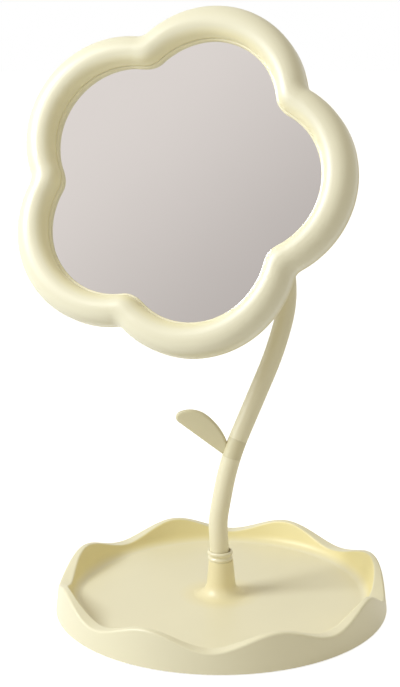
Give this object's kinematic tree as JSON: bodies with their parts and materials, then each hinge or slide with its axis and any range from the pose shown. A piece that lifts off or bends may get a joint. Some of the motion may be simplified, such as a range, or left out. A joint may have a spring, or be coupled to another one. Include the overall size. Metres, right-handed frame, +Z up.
{
  "type": "vanity mirror",
  "caption": "Petal-shaped table mirror that turns, tilts and spins on a ball joint, on a curved stem with a leaf, over a round tray with a wavy rim for small jewellery.",
  "frame": {"origin": "on the table, under the middle of the round base", "axes": "+Z up along the post; the mirror faces -Y, turned about 15 degrees to -X and tilted 23 degrees up"},
  "size_m": [0.1827, 0.17, 0.3033],
  "materials": {
    "tray_plastic": "satin moulded",
    "stem_plastic": "satin moulded",
    "collar_plastic": "satin moulded",
    "leaf_plastic": "satin moulded",
    "frame_plastic": "satin moulded",
    "back_plastic": "fine matt grain",
    "socket_plastic": "fine matt grain",
    "base_cover_plastic": "fine matt grain",
    "mirror_silver": "polished silvered glass",
    "adhesive": "soft foam",
    "nylon": "smooth",
    "zinc_steel": "zinc plated",
    "plated_ball": "polished",
    "ballast_steel": "rolled plate",
    "pad_rubber": "fine matt"
  },
  "bodies": {
    "base": {"tray_base": "tray_plastic", "ballast_plate": "ballast_steel", "base_cover": "base_cover_plastic", "base_cover_screws": "zinc_steel", "foot_pad": "pad_rubber", "stem_screw": "zinc_steel", "stem_washer": "zinc_steel", "stem": "stem_plastic", "stem_collar": "collar_plastic", "leaf": "leaf_plastic", "ball_stud": "plated_ball"},
    "turn": {"ball_seat": "nylon"},
    "tilt": {"spring_cup": "zinc_steel"},
    "head": {"front_frame": "frame_plastic", "mirror_glass": "mirror_silver", "adhesive_sheet": "adhesive", "back_cover": "back_plastic", "head_screws": "zinc_steel", "socket_cup": "socket_plastic", "socket_screws": "zinc_steel", "socket_nut": "socket_plastic"}
  },
  "joints": [
    {"name": "head_turn", "type": "hinge", "parent": "base", "child": "turn", "pos_m": [-0.01424, -0.00087, 0.21637], "axis": [0, 0, 1], "range_deg": [-20, 20]},
    {"name": "head_tilt", "type": "hinge", "parent": "turn", "child": "tilt", "pos_m": [-0.01424, -0.00087, 0.21637], "axis": [0.965, -0.2622, 0], "range_deg": [-20, 20]},
    {"name": "head_spin", "type": "hinge", "parent": "tilt", "child": "head", "pos_m": [-0.01424, -0.00087, 0.21637], "axis": [-0.2413, -0.8883, 0.3907], "continuous": true}
  ]
}
